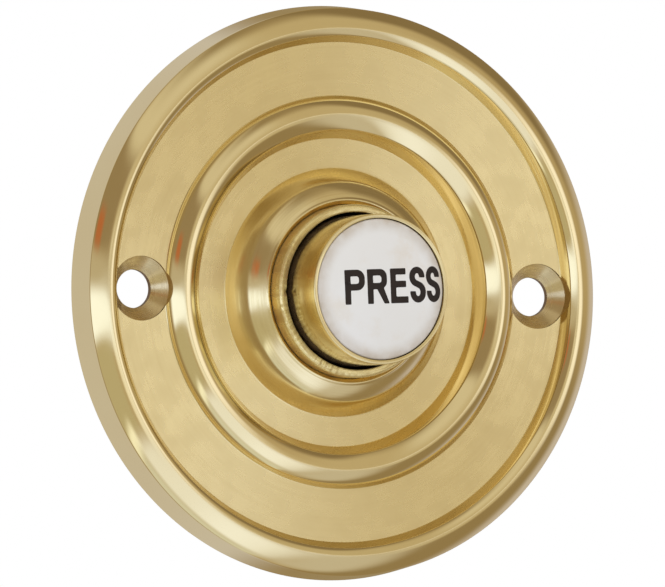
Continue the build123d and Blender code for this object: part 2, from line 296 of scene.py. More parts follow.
def true_normals(mesh, line, finish_count):
    """Gives the turned faces the normals of the section itself, so that reflections run clean along
    the mouldings. Faces with a later finish, such as a countersink, keep those of the mesh."""
    smooth(mesh)
    points, _, normals = line
    tree = kdtree.KDTree(len(points))
    for i, (r, h) in enumerate(points):
        tree.insert((r, h, 0), i)
    tree.balance()
    known = {}
    loops = [(0.0, 0.0, 0.0)] * len(mesh.loops)
    for face in mesh.polygons:
        if face.material_index >= finish_count:
            continue
        for loop in face.loop_indices:
            v = mesh.loops[loop].vertex_index
            if v not in known:
                x, y, z = mesh.vertices[v].co / MM
                r = math.hypot(x, z)
                nr, nh = normals[tree.find((r, -y, 0))[1]]
                known[v] = (nr * x / r, -nh, nr * z / r)
            loops[loop] = known[v]
    mesh.normals_split_custom_set(loops)


def grid_faces(rows, columns, closed):
    """Faces of a grid of points, row by row, closed round the rows where asked."""
    last = columns if closed else columns - 1
    faces = []
    for i in range(rows - 1):
        for k in range(last):
            here, beside = i * columns + k, i * columns + (k + 1) % columns
            faces.append((here, beside, beside + columns, here + columns))
    return faces


# Finishes

def linear(code):
    """sRGB hex to linear colour."""
    channels = [int(code[i:i + 2], 16) / 255 for i in (1, 3, 5)]
    return tuple(c / 12.92 if c <= 0.04045 else ((c + 0.055) / 1.055) ** 2.4 for c in channels) + (1.0,)


def add(tree, kind, sockets=None, **settings):
    """Adds a node: sockets are set, or linked where the value is a node or a socket."""
    node = tree.nodes.new(kind)
    for name, value in settings.items():
        setattr(node, name, value)
    for name, value in (sockets or {}).items():
        if isinstance(value, bpy.types.Node):
            value = value.outputs[0]
        if isinstance(value, bpy.types.NodeSocket):
            tree.links.new(value, node.inputs[name])
        else:
            node.inputs[name].default_value = value
    return node


def new_finish(name):
    """An empty material with its shader: gives the material, its tree, shader and own coordinates."""
    material = bpy.data.materials.new(name)
    material.use_nodes = True
    tree = material.node_tree
    tree.nodes.clear()
    shader = add(tree, "ShaderNodeBsdfPrincipled")
    add(tree, "ShaderNodeOutputMaterial", {"Surface": shader})
    place = add(tree, "ShaderNodeTexCoord").outputs["Object"]
    return material, tree, shader, place


def per(length_mm):
    """Scale of a pattern that repeats about once in this length."""
    return 1.0 / (length_mm * MM)


def two_tone(tree, shader, share, code, second_code):
    """Base colour that goes from one colour to a second with the share."""
    codes = {"Factor": share, "A": linear(code), "B": linear(second_code)}
    colour = add(tree, "ShaderNodeMix", codes, data_type="RGBA")
    tree.links.new(colour.outputs["Result"], shader.inputs["Base Color"])


def uneven_surface(tree, shader, place, size, detail, depth):
    """Soft bumps: size is how wide one is and depth is how high, both in mm."""
    waves = add(tree, "ShaderNodeTexNoise", {"Vector": place, "Scale": per(size), "Detail": detail})
    bump = add(tree, "ShaderNodeBump", {"Height": waves, "Strength": 1.0, "Distance": depth * MM})
    tree.links.new(bump.outputs[0], shader.inputs["Normal"])


def from_axis(tree, place, centre=0.0):
    """Place across the axis, or across the nearer of two that lie beside it at the same distance."""
    flat = add(tree, "ShaderNodeVectorMath", {0: place, 1: (1, 0, 1)}, operation="MULTIPLY")
    if not centre:
        return flat
    side = add(tree, "ShaderNodeVectorMath", {0: flat}, operation="SIGN")
    middle = add(tree, "ShaderNodeVectorMath", {0: side, 1: (centre * MM, 0, 0)}, operation="MULTIPLY")
    return add(tree, "ShaderNodeVectorMath", {0: flat, 1: middle}, operation="SUBTRACT")


def turning_marks(tree, place, pitch, streak, centre=0.0):
    """Fine rings that a lathe tool, a drill or a brushing wheel leaves round the axis, or round one
    beside it: pitch is from ring to ring and streak is how long one mark runs, both in mm. Real
    rings are about 0.1 mm apart, too fine to show, so all are drawn two to four times as coarse."""
    flat = from_axis(tree, place, centre)
    radius = add(tree, "ShaderNodeVectorMath", {0: flat}, operation="LENGTH").outputs["Value"]
    rings = add(tree, "ShaderNodeMath", {0: radius, 1: per(pitch)}, operation="MULTIPLY")
    slow = add(tree, "ShaderNodeVectorMath", {0: flat, 3: per(streak)}, operation="SCALE")
    parts = add(tree, "ShaderNodeSeparateXYZ", {0: slow})
    mixed = add(tree, "ShaderNodeCombineXYZ", {0: rings, 1: parts.outputs[0], 2: parts.outputs[2]})
    return add(tree, "ShaderNodeTexNoise", {"Vector": mixed, "Scale": 1.0, "Detail": 2.0, "Roughness": 0.5})


def brass(name, code, dull_code, roughness, grain=None, ripple=0.0, anisotropy=0.0, centre=0.0, dull=0.35):
    """Bare brass. Dull patches are where its lacquer has aged. grain is (pitch, streak, strength) of
    the marks left round the axis, and ripple the depth of the soft waves that polishing leaves."""
    material, tree, shader, place = new_finish(name)
    cloud = add(
        tree, "ShaderNodeTexNoise", {"Vector": place, "Scale": per(14), "Detail": 3.0, "Roughness": 0.5}
    )
    tone = add(
        tree, "ShaderNodeMapRange", {0: cloud, 1: 0.35, 2: 0.75, 3: 0.0, 4: dull},
        interpolation_type="SMOOTHSTEP",
    )
    rough = add(tree, "ShaderNodeTexNoise", {"Vector": place, "Scale": per(3), "Detail": 2.0})
    spread = add(
        tree, "ShaderNodeMapRange", {0: rough, 1: 0.3, 2: 0.7, 3: roughness * 0.85, 4: roughness * 1.2}
    )
    if grain:
        pitch, streak, strength = grain
        marks = turning_marks(tree, place, pitch, streak, centre)
        streaks = add(tree, "ShaderNodeMapRange", {0: marks, 1: 0.3, 2: 0.7, 3: -strength, 4: strength})
        tone = add(tree, "ShaderNodeMath", {0: tone, 1: streaks}, operation="ADD", use_clamp=True)
        swing = add(tree, "ShaderNodeMath", {0: streaks, 1: roughness}, operation="MULTIPLY")
        spread = add(tree, "ShaderNodeMath", {0: spread, 1: swing}, operation="ADD")
    two_tone(tree, shader, tone, code, dull_code)
    tree.links.new(spread.outputs[0], shader.inputs["Roughness"])
    shader.inputs["Metallic"].default_value = 1.0
    if ripple:
        uneven_surface(tree, shader, place, 2.2, 1.0, ripple)
    if anisotropy:
        shader.inputs["Anisotropic"].default_value = anisotropy
        shader.inputs["Anisotropic Rotation"].default_value = 0.25
        flat = from_axis(tree, place, centre)
        round_axis = add(tree, "ShaderNodeVectorMath", {0: flat, 1: (0, 1, 0)}, operation="CROSS_PRODUCT")
        tangent = add(
            tree, "ShaderNodeVectorTransform", {0: round_axis},
            vector_type="VECTOR", convert_from="OBJECT", convert_to="WORLD",
        )
        tree.links.new(tangent.outputs[0], shader.inputs["Tangent"])
    return material


def paint_shade(material, measure, clean, full_shade, code, share):
    """Paints uneven shade over a finish as a darker brownish layer: none at one radius or height, its full
    share at the other.
    """
    tree = material.node_tree
    shader, place = tree.nodes["Principled BSDF"], tree.nodes["Texture Coordinate"].outputs["Object"]
    if measure == "height":
        amount = add(tree, "ShaderNodeVectorMath", {0: place, 1: (0, -1, 0)}, operation="DOT_PRODUCT")
    else:
        amount = add(tree, "ShaderNodeVectorMath", {0: from_axis(tree, place)}, operation="LENGTH")
    ramp = add(
        tree, "ShaderNodeMapRange", {0: amount.outputs["Value"], 1: clean * MM, 2: full_shade * MM},
        interpolation_type="SMOOTHSTEP",
    )
    patches = add(tree, "ShaderNodeTexNoise", {"Vector": place, "Scale": per(1.6), "Detail": 4.0})
    uneven = add(tree, "ShaderNodeMapRange", {0: patches, 1: 0.3, 2: 0.7, 3: share * 0.6, 4: share * 1.3})
    cover = add(tree, "ShaderNodeMath", {0: ramp, 1: uneven}, operation="MULTIPLY", use_clamp=True)
    # Painted shade: a dull brown layer mixed over the finish where the ramp and the patches reach
    painted_shade = add(tree, "ShaderNodeBsdfPrincipled", {"Base Color": linear(code), "Roughness": 0.6})
    both = add(tree, "ShaderNodeMixShader", {0: cover, 1: shader, 2: painted_shade})
    tree.links.new(both.outputs[0], tree.nodes["Material Output"].inputs["Surface"])
    return material


def plain(name, code, second_code, roughness, patch_mm, metallic=0.0, depth=0.0, grain_mm=0.5):
    """A finish with soft patches of two near colours and a fine uneven surface."""
    material, tree, shader, place = new_finish(name)
    cloud = add(tree, "ShaderNodeTexNoise", {"Vector": place, "Scale": per(patch_mm), "Detail": 4.0})
    two_tone(tree, shader, cloud, code, second_code)
    shader.inputs["Metallic"].default_value = metallic
    spread = add(
        tree, "ShaderNodeMapRange", {0: cloud, 1: 0.3, 2: 0.7, 3: roughness * 0.8, 4: roughness * 1.2}
    )
    tree.links.new(spread.outputs[0], shader.inputs["Roughness"])
    if depth:
        uneven_surface(tree, shader, place, grain_mm, 3.0, depth)
    return material


# Polished brass: mirror bright mouldings with a slight wave that bends the reflections
polished_brass = brass("polished_brass", "#F1E0AE", "#E3C88C", 0.07, ripple=0.001, dull=0.15)
# Satin turned brass: flat fields brushed in rings, so highlights smear across the rings
satin_brass = brass(
    "satin_turned_brass", "#F4E0A6", "#E6CD8E", 0.27, grain=(0.35, 12.0, 0.07), anisotropy=0.75, dull=0.1
)
# Turned brass: the shoulder, finished on the lathe and only lightly polished, so its lights are soft
turned_brass = brass(
    "fine_turned_brass", "#F1E0AE", "#DCC487", 0.15, grain=(0.25, 10.0, 0.3), ripple=0.002, anisotropy=0.3
)
# Machined brass: open tool rings, a little darker
machined_brass = brass("machined_brass", "#EBD49C", "#C9A868", 0.30, grain=(0.3, 9.0, 0.5), ripple=0.002)
# Countersink: cut by a drill after polishing, so its highlight runs out across the drill's rings
drilled_brass = brass(
    "drilled_brass", "#EEDDB2", "#CDB07A", 0.24, grain=(0.35, 6.0, 0.2), anisotropy=0.85, centre=SCREW_OFFSET
)
# Bore of a screw hole, and of the barrel: raw drilled brass painted dark brown, as painted shade for the
# shadow inside them
shaded_bore_brass = plain("bore_brass_painted_dark", "#8A6C40", "#5E4728", 0.42, 1.5, metallic=0.8)
# Cast brass: the rough back that nobody polished
cast_brass = plain("cast_brass", "#C9A868", "#A98749", 0.48, 4.0, metallic=1.0, depth=0.02, grain_mm=0.7)
# Cup: brass turned bright, with tool rings, and painted brown shade where it runs into the barrel, darkest
# at the barrel's mouth
cup_brass = brass("turned_cup_brass", "#EFDFAC", "#C9AC68", 0.15, grain=(0.4, 8.0, 0.3), ripple=0.001)
paint_shade(cup_brass, "height", 12.6, 8.9, "#4A3820", 0.75)
# Sleeve: the barrel's turned front, duller, and partly tarnish that isn't metallic
sleeve_brass = brass("turned_sleeve_brass", "#F2E0A4", "#CCAA66", 0.28, grain=(0.3, 2.0, 0.5), ripple=0.003)
sleeve_brass.node_tree.nodes["Principled BSDF"].inputs["Metallic"].default_value = 0.85


def glazed_china():
    """White glazed china: a clear glossy coat over a warm white body, with faint smudges."""
    material, tree, shader, place = new_finish("glazed_china")
    smudge = add(
        tree, "ShaderNodeTexNoise", {"Vector": place, "Scale": per(6), "Detail": 5.0, "Roughness": 0.6}
    )
    mask = add(
        tree, "ShaderNodeMapRange", {0: smudge, 1: 0.52, 2: 0.75, 3: 0.0, 4: 0.5},
        interpolation_type="SMOOTHSTEP",
    )
    two_tone(tree, shader, mask, "#E2E3E4", "#D8CFC2")
    shader.inputs["Roughness"].default_value = 0.12
    shader.inputs["IOR"].default_value = 1.52
    uneven_surface(tree, shader, place, 4, 1.0, 0.004)
    return material


# China: a brownish painted shade laid on towards its rim, from 7.2 mm out to 9.4 mm
china = paint_shade(glazed_china(), "radius", 7.2, 9.4, "#A8957A", 0.5)
# Fired legend: brown-black enamel with only a weak shine, so it reads dark from every side
legend_black = plain("fired_black_enamel", "#1E1A19", "#332A25", 0.34, 1.6)
legend_black.node_tree.nodes["Principled BSDF"].inputs["Specular IOR Level"].default_value = 0.2
# Moulded phenolic: near black, with a faint brown mottle and a dull moulded skin
phenolic = plain("moulded_phenolic", "#241B17", "#1A1412", 0.34, 2.5, depth=0.004, grain_mm=0.4)
# Vulcanised fibre: brick red, matt and a little hairy
fibre = plain("vulcanised_fibre", "#8E3F2E", "#7A3326", 0.7, 1.2, depth=0.01, grain_mm=0.25)
# Phosphor bronze sheet: redder than brass, rolled smooth
phosphor_bronze = plain(
    "rolled_phosphor_bronze", "#DDA878", "#C98F60", 0.28, 2.0, metallic=1.0, depth=0.002
)
# Bright zinc plate: bluish grey with a soft bloom
zinc_plate = plain("bright_zinc_plate", "#D3D6DA", "#BFC4CB", 0.32, 1.5, metallic=1.0, depth=0.003)
# Spring wire: drawn and oiled, dark grey
spring_wire = plain("drawn_spring_wire", "#A9ABAF", "#85878C", 0.26, 1.0, metallic=1.0)

# Slots of the rose's finishes, and of the barrel's
POLISHED, SATIN, TURNED, MACHINED, CAST, DRILLED, BORED = range(7)
SLEEVE, INSIDE = range(2)


# Rose

def rose_line():
    """Section of the rose, from the rim over both beads and the shoulder to the bore and the back."""
    outer_end, outer_start, outer_height = OUTER_FIELD
    inner_end, inner_start, inner_height = INNER_FIELD
    shoulder_foot, shoulder_top = (inner_start, inner_height), (LIP[0], LIP[1] - LIP_ROUNDING)
    flank_middle = tuple((np.array(shoulder_foot) + SHOULDER_BEND) / 2)
    crown = bulged(SHOULDER_BEND, shoulder_top, SHOULDER_BULGE)
    half = ARC_STEPS // 2
    mouth_edge = (BORE_RADIUS, LIP[1] - MOUTH_RADIUS + BORE_RADIUS)
    return section([
        (POLISHED, 0.05, [(ROSE_RADIUS, 0), RIM_EDGE]),
        (POLISHED, 0.07, bead_side(OUTER_CREST, RIM_EDGE, RIM_EDGE)[:-1][::-1]),
        (POLISHED, 0.1, bead_side(OUTER_CREST, OUTER_TURN, (outer_end, outer_height))),
        (SATIN, 0.03, [(outer_end, outer_height), (outer_start, outer_height)]),
        (POLISHED, 0.06, bead_side(MIDDLE_CREST, MIDDLE_TURNS[0], (outer_start, outer_height))[::-1]),
        (POLISHED, 0.12, bead_side(MIDDLE_CREST, MIDDLE_TURNS[1], (inner_end, inner_height))),
        (SATIN, 0.03, [(inner_end, inner_height), shoulder_foot]),
        (TURNED, 0.02, [shoulder_foot, flank_middle]),
        (TURNED, 0.25, [flank_middle, *crown[:half]]),
        (TURNED, 0.06, crown[half - 1:]),
        (TURNED, 0.08, [shoulder_top, (LIP[0] - LIP_ROUNDING, LIP[1]), (MOUTH_RADIUS, LIP[1])]),
        (MACHINED, 0.03, [(MOUTH_RADIUS, LIP[1]), mouth_edge]),
        (MACHINED, 0.03, [mouth_edge, (BORE_RADIUS, HUB_RECESS), (HUB_RADIUS, HUB_RECESS)]),
        (CAST, 0.15, [
            (HUB_RADIUS, HUB_RECESS), (HUB_RADIUS + BACK_DRAFT, INNER_BACK_HEIGHT),
            (inner_end, INNER_BACK_HEIGHT), (inner_end + BACK_SLOPE_WIDTH, BACK_HEIGHT),
            (SKIRT_RADIUS - BACK_DRAFT, BACK_HEIGHT), (SKIRT_RADIUS, 0),
        ]),
        (MACHINED, 0.05, [(SKIRT_RADIUS, 0), (ROSE_RADIUS, 0)]),
    ])


def countersink(side):
    """Cutter of one screw hole: the drilled hole and the cone that the screw's head sits in."""
    deep, high = -1.0, 8.0
    line = section([
        (BORED, 0.0, [(0, deep), (SCREW_HOLE_RADIUS, deep), (SCREW_HOLE_RADIUS, COUNTERSINK_START)]),
        (DRILLED, 0.0, [(SCREW_HOLE_RADIUS, COUNTERSINK_START), (COUNTERSINK_RADIUS, COUNTERSINK_TOP)]),
        # The wall left above the cone takes the darker, rougher cast finish, as painted shade for the shadow
        # in it
        (CAST, 0.0, [
            (COUNTERSINK_RADIUS, COUNTERSINK_TOP), (COUNTERSINK_RADIUS, high), (0, high), (0, deep)
        ]),
    ], spacing=0.5, rounds=1)
    mesh = turned_mesh("countersink", line, 128, bend=400.0, reach=1.2, centre=side * SCREW_OFFSET)
    finish_mesh(mesh)
    return mesh


rose_section = rose_line()
rose = piece(
    "rose_casting", turned_mesh("rose_casting", rose_section, 288), "rose",
    [polished_brass, satin_brass, turned_brass, machined_brass, cast_brass, drilled_brass, shaded_bore_brass],
    ["front_plate"],
)
cut(rose, [countersink(1), countersink(-1)])
true_normals(rose.data, rose_section, DRILLED)


# Barrel, with its thread and the burrs on its front edge

def barrel_shape(radius, turn, height):
    """Cuts the screw thread into the outside of the barrel, except on its plain front band, and
    roughens its front edge: burrs at the lower left and a nick at the left."""
    outside = radius > (BARREL_RADIUS + BARREL_BORE) / 2
    phase = (height / THREAD_PITCH + turn / 360.0) % 1.0
    ridge = np.clip(np.abs(phase - 0.5) * 2.6 - 0.2, 0, 1)
    run_out = np.clip((THREAD_FRONT - height) / THREAD_RUN_OUT, 0, 1)
    start = run_out * np.clip((height - BARREL_REAR) / THREAD_LEAD_IN, 0, 1)
    front = np.clip((height - BARREL_FRONT + WORN_BAND) / WORN_BAND, 0, 1)
    rough = np.sin(turn * 0.9) * np.sin(turn * 2.3 + 1) + 0.6 * np.sin(turn * 1.37 + 2)
    burred = np.exp(-(((turn - BURRS[0]) / BURRS[1]) ** 2))
    nick = np.exp(-(((turn - NICK[0]) / NICK[1]) ** 2)) * (radius < BARREL_BORE + 0.4)
    lowered = front * (0.012 + 0.06 * burred) * (1 + rough) + front * NICK_DEPTH * nick
    worn = front * outside * (0.012 + 0.07 * burred) * (1 + rough)
    return radius - outside * THREAD_DEPTH * (1 - ridge) * start - worn, turn, height - lowered


def grub_hole(side):
    """Cutter of the hole that a grub screw stands in."""
    count = 48
    turn = np.arange(count) * math.tau / count
    ring = np.stack([GRUB_HOLE_RADIUS * np.cos(turn), GRUB_HOLE_RADIUS * np.sin(turn) - GRUB_HEIGHT], 1)
    points = [(x, y, side * z) for z in (BARREL_BORE - 1, BARREL_RADIUS + 1) for x, y in ring]
    faces = grid_faces(2, count, True) + [tuple(range(count)), tuple(range(count, 2 * count))]
    mesh = mesh_of("grub_hole", (np.array(points) * MM).tolist(), faces)
    finish_mesh(mesh)
    return mesh


bore_top = (BARREL_BORE, BARREL_FRONT - BORE_CHAMFER[1])
face_inner = (BARREL_BORE + BORE_CHAMFER[0], BARREL_FRONT)
face_outer = (BARREL_RADIUS - FRONT_ROUNDING, BARREL_FRONT)
side_top = (BARREL_RADIUS, BARREL_FRONT - FRONT_ROUNDING)
side_rear = (BARREL_RADIUS, BARREL_REAR + REAR_CHAMFER)
barrel_section = section([
    (INSIDE, 0.03, [(BARREL_BORE, BARREL_REAR), bore_top]),
    (SLEEVE, 0.05, [bore_top, face_inner]),
    (SLEEVE, 0.1, [face_inner, face_outer]),
    (SLEEVE, 0.1, [face_outer, side_top]),
    (SLEEVE, 0.03, [side_top, side_rear]),
    (SLEEVE, 0.03, [side_rear, (BARREL_RADIUS - REAR_CHAMFER, BARREL_REAR), (BARREL_BORE, BARREL_REAR)]),
])
barrel_mesh = turned_mesh("threaded_barrel", barrel_section, 256, bend=12.0, reach=0.16, shape=barrel_shape)
finish_mesh(barrel_mesh)
barrel = piece(
    "threaded_barrel", barrel_mesh, "rose", [sleeve_brass, shaded_bore_brass], ["barrel"]
)
cut(barrel, [grub_hole(1), grub_hole(-1)])


# Button cup and china

cup_section = section([
    (0, 0.03, [(0, POCKET_FLOOR), (POCKET_RADIUS, POCKET_FLOOR), (POCKET_RADIUS, CUP_FRONT)]),
    (0, 0.07, [(POCKET_RADIUS, CUP_FRONT), (CUP_RADIUS, CUP_FRONT), (CUP_RADIUS, CUP_RIM_BAND)]),
    (0, 0.03, [
        (CUP_RADIUS, CUP_RIM_BAND), (CUP_RADIUS, CUP_SKIRT_REAR), (CUP_SKIRT_BORE, CUP_SKIRT_REAR),
        (CUP_SKIRT_BORE, CUP_FLOOR_REAR), (CUP_BOSS_RADIUS, CUP_FLOOR_REAR),
        (CUP_BOSS_RADIUS, CUP_BOSS_REAR),
    ]),
    (0, 0.03, [
        (CUP_BOSS_RADIUS, CUP_BOSS_REAR), (STEM_HOLE_RADIUS, CUP_BOSS_REAR),
        (STEM_HOLE_RADIUS, STEM_HOLE_END), (0, STEM_HOLE_END), (0, POCKET_FLOOR),
    ]),
])
cup_mesh = turned_mesh("button_cup_turned", cup_section, 192, bend=8.0, reach=1.0)
finish_mesh(cup_mesh)
piece("button_cup_turned", cup_mesh, "button", [cup_brass], ["button_cup"])

DOME_RISE = CHINA_APEX - CHINA_EDGE
DOME_RADIUS = (CHINA_RADIUS**2 + DOME_RISE**2) / (2 * DOME_RISE)


def dome_height(radius):
    """Height of the china's domed face at a radius."""
    return CHINA_APEX - DOME_RADIUS + math.sqrt(DOME_RADIUS**2 - radius**2)


china_section = section([
    (0, 0.24, [(CHINA_RADIUS * k / 24, dome_height(CHINA_RADIUS * k / 24)) for k in range(25)]),
    (0, 0.24, [(CHINA_RADIUS, CHINA_EDGE), (CHINA_RADIUS, CHINA_EDGE - CHINA_EDGE_BAND)]),
    (0, 0.02, [
        (CHINA_RADIUS, CHINA_EDGE - CHINA_EDGE_BAND), (CHINA_RADIUS, POCKET_FLOOR),
        (0, POCKET_FLOOR), (0, CHINA_APEX),
    ]),
])
china_mesh = turned_mesh("china_face", china_section, 160, bend=5.0, reach=0.6)
finish_mesh(china_mesh)
piece("china_face", china_mesh, "button", [china], ["china_disc"])


# Legend: plain blunt capitals, fired on the china a little right of its middle

CAP_HEIGHT = 4.6
STEM = 0.85
LETTER_PLACES = (("P", 0.0, 1.0), ("R", 3.3, 1.0), ("E", 6.73, 1.0), ("S", 9.64, 1.0), ("S", 12.2, 0.87))
LEGEND_MIDDLE = (7.15, 2.3)
LEGEND_PLACE = (1.67, 0.44)
LEGEND_TILT = 2.7
ENAMEL_THICKNESS = 0.02
ENAMEL_DEPTH = 0.05


def bowl(left, right, low, high, corner):
    """Outline of a bowl's right side, from its lower to its upper left end."""
    return np.concatenate([
        [(left, low)],
        ellipse_part((right - corner, low + corner), (corner, corner), -90, 90),
        ellipse_part((right - corner, high - corner), (corner, corner), 0, 90),
        [(left, high)],
    ])


def stroke(spine, width):
    """Outline of a stroke of even width along its spine."""
    along = np.gradient(spine, axis=0)
    side = np.stack([-along[:, 1], along[:, 0]], 1) / np.linalg.norm(along, axis=1)[:, None] * width / 2
    return np.concatenate([spine + side, (spine - side)[::-1]])


def letter(sign):
    """Outlines of a capital, its outer one first."""
    if sign == "P":
        outside = [[(0, 0), (STEM, 0)], bowl(STEM, 2.93, 1.84, CAP_HEIGHT, 1.15), [(0, CAP_HEIGHT)]]
        return [np.concatenate(outside), bowl(STEM, 2.08, 2.72, 3.72, 0.36)]
    if sign == "R":
        leg = [(0, 0), (STEM, 0), (STEM, 1.92), (1.42, 1.92), (2.45, 0), (3.2, 0)]
        crook = ellipse_part((1.92, 2.98), (1.0, 1.0), -62, 62)
        top = ellipse_part((1.92, 3.6), (1.0, 1.0), 0, 90)
        return [np.concatenate([leg, crook, top, [(0, CAP_HEIGHT)]]), bowl(STEM, 2.1, 2.76, 3.74, 0.36)]
    if sign == "E":
        return [np.array([
            (0, 0), (2.64, 0), (2.64, 0.87), (0.83, 0.87), (0.83, 2.08), (2.35, 2.08),
            (2.35, 2.94), (0.83, 2.94), (0.83, 3.77), (2.35, 3.77), (2.35, CAP_HEIGHT), (0, CAP_HEIGHT),
        ])]
    upper = ellipse_part((1.15, 3.42), (0.75, 0.9), -8, 253)
    lower = ellipse_part((1.24, 1.38), (0.78, 0.98), 65, -253)
    return [stroke(np.concatenate([upper, lower]), STEM)]


def legend_mesh():
    """All letters as one thin layer of enamel that follows the dome of the china."""
    turn = math.radians(LEGEND_TILT)
    work = bmesh.new()
    for sign, start, width in LETTER_PLACES:
        loops = []
        for outline in letter(sign):
            line = section([(0, 0.09, np.concatenate([outline, outline[:1]]))], spacing=0.04, rounds=40)
            points = line[0][stations(line, bend=9.0, reach=0.5)]
            x = points[:, 0] * width + start - LEGEND_MIDDLE[0]
            y = points[:, 1] - LEGEND_MIDDLE[1]
            across = x * math.cos(turn) - y * math.sin(turn) + LEGEND_PLACE[0]
            rise = x * math.sin(turn) + y * math.cos(turn) + LEGEND_PLACE[1]
            loops.append([Vector((a, 0, b)) for a, b in zip(across, rise)])
        corners = [work.verts.new(p) for loop in loops for p in loop]
        for triangle in tessellate_polygon(loops):
            work.faces.new([corners[k] for k in triangle])
    for axis in ((1, 0, 0), (0, 0, 1)):
        for step in np.arange(-9, 9.5, 0.9):
            bmesh.ops.bisect_plane(
                work, geom=work.verts[:] + work.edges[:] + work.faces[:],
                plane_co=Vector(axis) * step, plane_no=axis,
            )
    bmesh.ops.recalc_face_normals(work, faces=work.faces)
    front = work.verts[:]
    grown = bmesh.ops.extrude_face_region(work, geom=work.faces[:])
    back = [item for item in grown["geom"] if isinstance(item, bmesh.types.BMVert)]
    for group, lift in ((front, ENAMEL_THICKNESS), (back, -ENAMEL_DEPTH)):
        for vert in group:
            vert.co.y = -(dome_height(math.hypot(vert.co.x, vert.co.z)) + lift)
    bmesh.ops.recalc_face_normals(work, faces=work.faces)
    bmesh.ops.scale(work, vec=(MM, MM, MM), verts=work.verts)
    mesh = bpy.data.meshes.new("press_legend")
    work.to_mesh(mesh)
    work.free()
    return mesh


piece("press_legend", legend_mesh(), "button", [legend_black])


# Spring: closed end turns, open in the middle

def spring_mesh():
    """Wire tube along a compression spring's helix."""
    ring, turns, per_turn = 12, 5.5, 40
    low, high = SPRING_SEAT + SPRING_WIRE, SPRING_TOP - SPRING_WIRE
    air = 1.02
    closed = 2 * SPRING_WIRE * air
    count = int(turns * per_turn) + 1
    passed = np.linspace(0, turns, count)
    middle_pitch = (high - low - 2 * closed) / (turns - 2)
    last_closed = closed + middle_pitch * (turns - 2)
    rise = np.interp(passed, [0, 1, turns - 1, turns], [0, closed, last_closed, high - low])
    angle = passed * math.tau
    line = np.stack([SPRING_RADIUS * np.cos(angle), -(low + rise), SPRING_RADIUS * np.sin(angle)], 1)
    outwards = np.stack([np.cos(angle), np.zeros(count), np.sin(angle)], 1)
    turn = np.arange(ring) * math.tau / ring
    points = (
        line[:, None, :]
        + outwards[:, None, :] * (SPRING_WIRE * np.cos(turn))[None, :, None]
        + np.array([0, 1, 0])[None, None, :] * (SPRING_WIRE * np.sin(turn))[None, :, None]
    )
    faces = grid_faces(count, ring, True)
    faces += [tuple(range(ring)), tuple(range((count - 1) * ring, count * ring))]
    mesh = mesh_of("coil_spring", (points.reshape(-1, 3) * MM).tolist(), faces)
    finish_mesh(mesh)
    return mesh


spring = piece("coil_spring", spring_mesh(), "rose", [spring_wire], ["return_spring"])
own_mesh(spring)


# Finishes of the pieces that keep their CAD shapes

CARRIED = {
    "lock_washer": zinc_plate,
    "lock_nut": machined_brass,
    "plunger_stem": machined_brass,
    "front_insulator": fibre,
    "bridge_disc": phosphor_bronze,
    "insulating_bush": fibre,
    "stop_washer": zinc_plate,
    "retaining_clip": spring_wire,
    "contact_block": phenolic,
    "grub_screw_upper": zinc_plate,
    "grub_screw_lower": zinc_plate,
}
for side in ("left", "right"):
    for kind in ("contact_stud", "stud_nut", "terminal_washer", "terminal_nut"):
        CARRIED[f"{kind}_{side}"] = machined_brass
for name, finish in CARRIED.items():
    node = nodes[name]
    node.data.materials.clear()
    node.data.materials.append(finish)


# Studio

TENT_RADIUS = 1.5
TENT_STEP = 1.25
FLOOR_HALF, FLOOR_DROP = 3.0, -1.0
FLOOR_GLOW = 0.55
ROOM_LIGHT = 0.62

# What the brass sees: a fan of soft-edged patches round the direction that the flat fields mirror.
# Each has a turn from and to (0 is to the right, 90 up), a distance from and to, the softness of
# both, all in degrees, then linear colour. The last ones lie on top.
MIRRORED = (27.0, 2.0)
ROOM = (0.50, 0.41, 0.27)
FAN = [
    (0, 360, 0, 13, 1, 12, (0.60, 0.53, 0.40)),
    (60, 160, 0, 56, 36, 40, (0.56, 0.48, 0.34)),
    (112, 156, 10, 90, 20, 40, (0.70, 0.65, 0.55)),
    (60, 130, 52, 200, 30, 40, (0.33, 0.26, 0.16)),
    (15, 75, 36, 200, 20, 20, (0.26, 0.20, 0.12)),
    (285, 352, 12, 200, 24, 8, (0.32, 0.25, 0.15)),
    (-25, 42, 0, 17, 32, 10, (1.12, 1.12, 1.2)),
    (168, 232, 0, 16, 16, 10, (0.94, 0.92, 0.88)),
    (325, 372, 50, 96, 24, 30, (0.60, 0.57, 0.66)),
    (151, 173, 18, 200, 6, 14, (0.33, 0.26, 0.17)),
    (173, 181, 0, 200, 4, 20, (0.55, 0.50, 0.42)),
    (165, 172, 58, 82, 4, 12, (0.50, 0.18, 0.08)),
    (180, 190, 0, 96, 4, 20, (1.15, 1.28, 1.6)),
    (191, 211, 24, 200, 5, 20, (0.53, 0.49, 0.36)),
    (208, 214, 52, 90, 4, 20, (1.1, 1.15, 1.15)),
    (213, 264, 0, 66, 8, 24, (0.92, 0.97, 1.13)),
    (213, 262, 66, 200, 8, 24, (0.72, 0.75, 0.76)),
    (236, 254, 8, 62, 18, 16, (1.02, 1.10, 1.36)),
    (262, 290, 0, 70, 18, 30, (0.60, 0.57, 0.54)),
    (0, 360, 98, 300, 1, 20, (0.34, 0.26, 0.14)),
    (0, 360, 138, 300, 1, 16, (0.62, 0.60, 0.62)),
]


